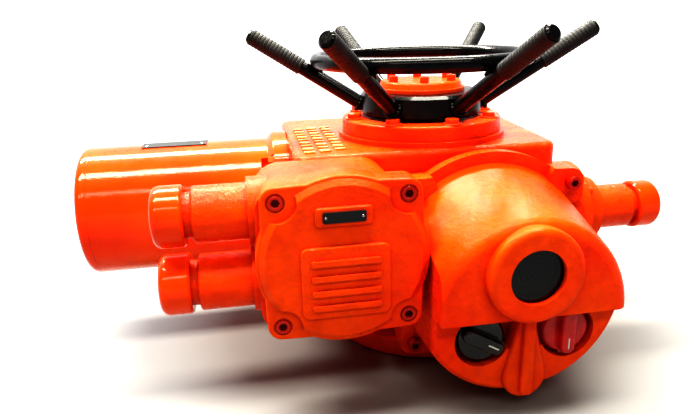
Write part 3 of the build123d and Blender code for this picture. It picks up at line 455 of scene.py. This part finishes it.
# ---- Detail pieces ----
def piece(name, bm, look, body):
    """Turns a bmesh into a piece that rides on a body."""
    for face in bm.faces:
        face.smooth = True
    bmesh.ops.recalc_face_normals(bm, faces=bm.faces)
    mesh = bpy.data.meshes.new(name)
    bm.to_mesh(mesh)
    bm.free()
    mesh.materials.append(MATERIALS[look])
    obj = bpy.data.objects.new(name, mesh)
    bpy.context.scene.collection.objects.link(obj)
    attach(obj, body)


def facing(at, normal):
    """Matrix that puts local +Z along the normal at a point."""
    return Matrix.Translation(at) @ Vector(normal).to_track_quat("Z", "Y").to_matrix().to_4x4()


def lathe(bm, matrix, profile, steps=32):
    """Closed ring of (radius, height) points turned about local Z."""
    rings = []
    for k in range(steps):
        turn = 2 * math.pi * k / steps
        rings.append([
            bm.verts.new(matrix @ Vector((r * math.cos(turn), r * math.sin(turn), h))) for r, h in profile
        ])
    for k, ring in enumerate(rings):
        after = rings[(k + 1) % steps]
        for i in range(len(profile)):
            j = (i + 1) % len(profile)
            bm.faces.new((ring[i], after[i], after[j], ring[j]))


def dome(radius, height):
    """Profile of a domed rivet head, with a pinhole so that it stays one closed ring."""
    steps = 6
    points = [(RIVET_PINHOLE, 0.0), (radius, 0.0)]
    for k in range(1, steps + 1):
        angle = math.pi / 2 * k / steps
        points.append((max(RIVET_PINHOLE, radius * math.cos(angle)), height * math.sin(angle)))
    return points


def weld_bead(bm, at, normal, radius, thick, ripples=14):
    """Rippled bead laid round a joint."""
    matrix = facing(at, normal)
    around = ripples * 6
    across = 10
    loops = []
    for k in range(around):
        turn = 2 * math.pi * k / around
        puddle = thick * (1 + 0.16 * math.cos(ripples * turn) + random.uniform(-0.05, 0.05))
        loop = []
        for i in range(across):
            side = 2 * math.pi * i / across
            reach = radius + puddle * math.cos(side)
            spot = (reach * math.cos(turn), reach * math.sin(turn), puddle * math.sin(side))
            loop.append(bm.verts.new(matrix @ Vector(spot)))
        loops.append(loop)
    for k, loop in enumerate(loops):
        after = loops[(k + 1) % around]
        for i in range(across):
            j = (i + 1) % across
            bm.faces.new((loop[i], after[i], after[j], loop[j]))


def soft_bar(bm, matrix, size, edge):
    """Block with rounded edges."""
    part = bmesh.new()
    bmesh.ops.create_cube(part, size=1.0)
    bmesh.ops.scale(part, vec=size, verts=part.verts)
    bmesh.ops.bevel(part, geom=part.edges[:], offset=edge, segments=3, affect="EDGES", profile=0.5)
    part.transform(matrix)
    mesh = bpy.data.meshes.new("part")
    part.to_mesh(mesh)
    part.free()
    bm.from_mesh(mesh)
    bpy.data.meshes.remove(mesh)


def rod_directions():
    """Level unit vectors along the rods, seen from above."""
    angles = [math.radians(ROD_PHASE + 360 / ROD_COUNT * k) for k in range(ROD_COUNT)]
    return [Vector((math.cos(angle), math.sin(angle), 0)) for angle in angles]


def on_rod(out, radius):
    """Point on a rod's axis at a radius from the handwheel's axis."""
    return out * radius + Vector((0, 0, ROD_ROOT[1] + (radius - ROD_ROOT[0]) * ROD_SLOPE))


def handwheel_welds():
    """Beads where each rod enters the hub, and where the ring lies on the rod."""
    steep = math.hypot(1, ROD_SLOPE)
    hub = bmesh.new()
    ring = bmesh.new()
    for out in rod_directions():
        along = (out + Vector((0, 0, ROD_SLOPE))).normalized()
        over = (Vector((0, 0, 1)) - out * ROD_SLOPE).normalized()
        foot = on_rod(out, HUB_R + HUB_WELD_OUT)
        weld_bead(hub, foot, along, ROD_R + HUB_WELD_GAP, HUB_WELD_THICK)
        contact = on_rod(out, RING_R) + over * ROD_R + along * (ROD_R * ROD_SLOPE / steep)
        weld_bead(ring, contact, over, RING_WELD_R, RING_WELD_THICK, RING_WELD_RIPPLES)
    piece("hub_welds", hub, "black_enamel", "handwheel")
    piece("ring_welds", ring, "black_enamel", "handwheel")


def bonnet_washers():
    """Flat washer with softened outer edges under each bonnet bolt."""
    bm = bmesh.new()
    profile = [
        (WASHER_BORE, 0.0), (0.0093, 0.0), (WASHER_R, 0.0004), (WASHER_R, 0.0009), (0.0093, WASHER_T),
        (WASHER_BORE, WASHER_T),
    ]
    for k in range(BONNET_SCREW_COUNT):
        angle = math.radians(BONNET_SCREW_PHASE + 360 / BONNET_SCREW_COUNT * k)
        at = (BONNET_SCREW_R * math.cos(angle), BONNET_SCREW_R * math.sin(angle), BONNET_TOP)
        lathe(bm, Matrix.Translation(at), profile)
    piece("bonnet_washers", bm, "smooth_orange", "casing")


def screw_collars():
    """Painted sealing ring round each terminal screw's head, in its counterbore."""
    bm = bmesh.new()
    profile = [
        (COLLAR_BORE, 0.0), (COLLAR_R, 0.0), (COLLAR_R, 0.0009), (0.0071, COLLAR_T), (0.0067, COLLAR_T),
        (COLLAR_BORE, 0.0009),
    ]
    for i in (-1, 1):
        for j in (-1, 1):
            x = TERMINAL_AT[0] + TERMINAL_BOLT * i
            z = TERMINAL_AT[1] + TERMINAL_BOLT * j
            lathe(bm, facing((x, RIM_FRONT + COLLAR_SINK, z), (0, -1, 0)), profile)
    piece("screw_collars", bm, "smooth_orange", "casing")


def plate_rivets():
    """Four drive rivets through the curved rating plate, two through the label."""
    bm = bmesh.new()
    for x in (PLATE_X[0] + PLATE_RIVET_INSET, PLATE_X[1] - PLATE_RIVET_INSET):
        for tilt in PLATE_TILTS:
            angle = math.radians(tilt)
            normal = Vector((0, math.sin(angle), math.cos(angle)))
            at = Vector((x, *MOTOR_AT[1:])) + normal * (PLATE_R - PLATE_RIVET_SINK)
            lathe(bm, facing(at, normal), dome(*PLATE_RIVET), RIVET_STEPS)
    for side in (-LABEL_RIVET_X, LABEL_RIVET_X):
        at = (LABEL_AT[0] + side, LABEL_FRONT + SINK, LABEL_AT[1])
        lathe(bm, facing(at, (0, -1, 0)), dome(*LABEL_RIVET), RIVET_STEPS)
    piece("plate_rivets", bm, "bearing_steel", "casing")


def cast_marks():
    """Three rows of raised foundry bars on the housing top, in a paler orange that is a painted highlight
    for their glints; they carry no lettering.
    """
    bm = bmesh.new()
    for row in range(MARK_ROWS):
        x = MARKS_AT[0] + MARKS_PITCH * row
        for k in range(MARKS_IN_ROW):
            y = MARKS_AT[1] + MARKS_PITCH * k + MARKS_STAGGER * row
            tilt = Matrix.Rotation(math.radians(MARK_TILT * (-1) ** k), 4, "Z")
            size = (MARK_LENGTH, MARK_WIDTHS[(k + row) % 2], MARK_HEIGHT)
            soft_bar(bm, Matrix.Translation((x, y, HOUSING_TOP)) @ tilt, size, edge=0.0009)
    piece("cast_marks", bm, "mark_glint_orange", "casing")


def dial_scale():
    """Ticks round the dial, with a longer and wider one at each quarter."""
    bm = bmesh.new()
    for k in range(TICK_COUNT):
        width, reach = LONG_TICK if k % TICKS_PER_QUARTER == 0 else SHORT_TICK
        turn = Matrix.Rotation(2 * math.pi * k / TICK_COUNT, 4, "Y")
        at = Matrix.Translation((WINDOW_AT[0], DIAL_FRONT, WINDOW_AT[1])) @ turn
        at = at @ Matrix.Translation((0, -TICK_RAISE, TICK_OUTER_R - reach / 2))
        soft_bar(bm, at, (width, TICK_T, reach), edge=0.0001)
    piece("dial_scale", bm, "pale_ink", "dial")


def dial_pointer():
    """Fixed pointer that reaches in over the dial from the wall of the window's bore."""
    bm = bmesh.new()
    z = WINDOW_AT[1] + WINDOW_BORE_R - POINTER_SIZE[2] / 2
    at = Matrix.Translation((WINDOW_AT[0], DIAL_FRONT - POINTER_GAP, z))
    soft_bar(bm, at, POINTER_SIZE, edge=0.0003)
    piece("dial_pointer", bm, "knob_red", "casing")


def knob_lines():
    """Pale index line let into the pointing half of each knob's grip bar."""
    for body, (x, z, turn, slot) in KNOBS.items():
        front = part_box(f"{body}_knob")[0].y
        bm = bmesh.new()
        at = Matrix.Translation((x, front + SINK, z)) @ Matrix.Rotation(math.radians(turn), 4, "Y")
        soft_bar(bm, at @ Matrix.Translation((0, 0, -KNOB_LINE_OUT)), KNOB_LINE_SIZE, edge=0.0002)
        piece(f"{body}_index", bm, "pale_ink", body)


# ---- Studio ----
def floor_paint():
    """Matt grey floor that fades into the surround towards its rim."""
    s = Shader("floor", Roughness=0.95)
    s.drive("Base Color", s.mix(s.noise(3.0, 2.0), *FLOOR_SHADES))
    length = s.add("ShaderNodeVectorMath", operation="LENGTH")
    s.feed(length.inputs[0], s.place)
    s.drive("Alpha", s.span(length.outputs["Value"], FLOOR_CLEAR_R, FLOOR_R * 0.98, 1.0, 0.0))
    return s.material


def floor():
    """Round floor just under the flange."""
    bm = bmesh.new()
    bmesh.ops.create_circle(bm, cap_ends=True, radius=FLOOR_R, segments=96)
    mesh = bpy.data.meshes.new("floor")
    bm.to_mesh(mesh)
    bm.free()
    mesh.materials.append(floor_paint())
    obj = bpy.data.objects.new("floor", mesh)
    obj.location.z = -FLOOR_DROP
    bpy.context.scene.collection.objects.link(obj)


def strip_lights():
    """Long soft strips along X, each aimed at the motor's axis."""
    across = Vector((1, 0, 0))
    for k, (elevation, width, power) in enumerate(STRIPS):
        angle = math.radians(elevation)
        away = Vector((0, -math.cos(angle), math.sin(angle)))
        data = bpy.data.lights.new(f"strip_{k}", "AREA")
        data.shape = "RECTANGLE"
        data.size = LIGHT_LENGTH
        data.size_y = width
        data.energy = power
        data.color = WARM_WHITE
        light = bpy.data.objects.new(f"strip_{k}", data)
        turn = Matrix((across, away.cross(across), away)).transposed().to_4x4()
        light.matrix_world = Matrix.Translation(Vector(MOTOR_AT) + away * LIGHT_REACH) @ turn
        bpy.context.scene.collection.objects.link(light)


def surround():
    """Soft white surround: bright behind the object and near the ground, dim in front and above."""
    world = bpy.data.worlds.new("studio")
    world.use_nodes = True
    bpy.context.scene.world = world
    nodes = world.node_tree.nodes
    links = world.node_tree.links
    split = nodes.new("ShaderNodeSeparateXYZ")
    links.new(nodes.new("ShaderNodeTexCoord").outputs["Generated"], split.inputs["Vector"])
    brightest = nodes.new("ShaderNodeMath")
    brightest.operation = "MAXIMUM"
    for k, (axis, start, end, before, after) in enumerate(SURROUND):
        spread = nodes.new("ShaderNodeMapRange")
        spread.interpolation_type = "SMOOTHSTEP"
        links.new(split.outputs[axis], spread.inputs["Value"])
        spread.inputs["From Min"].default_value = start
        spread.inputs["From Max"].default_value = end
        spread.inputs["To Min"].default_value = before
        spread.inputs["To Max"].default_value = after
        links.new(spread.outputs["Result"], brightest.inputs[k])
    background = nodes["Background"]
    background.inputs["Color"].default_value = (1, 1, 1, 1)
    links.new(brightest.outputs["Value"], background.inputs["Strength"])


def camera():
    data = bpy.data.cameras.new("camera")
    data.sensor_width = CAMERA_SENSOR
    data.lens = CAMERA_LENS
    obj = bpy.data.objects.new("camera", data)
    obj.matrix_world = (
        Matrix.Translation(CAMERA_AT)
        @ Matrix.Rotation(math.radians(CAMERA_YAW), 4, "Z")
        @ Matrix.Rotation(math.radians(CAMERA_PITCH), 4, "X")
        @ Matrix.Rotation(math.radians(CAMERA_ROLL), 4, "Z")
    )
    bpy.context.scene.collection.objects.link(obj)
    bpy.context.scene.camera = obj


def colours():
    settings = bpy.context.scene.view_settings
    settings.view_transform = "Standard"
    settings.look = "Very High Contrast"


dress_frame()
handwheel_welds()
bonnet_washers()
screw_collars()
plate_rivets()
cast_marks()
dial_scale()
dial_pointer()
knob_lines()
floor()
strip_lights()
surround()
camera()
colours()
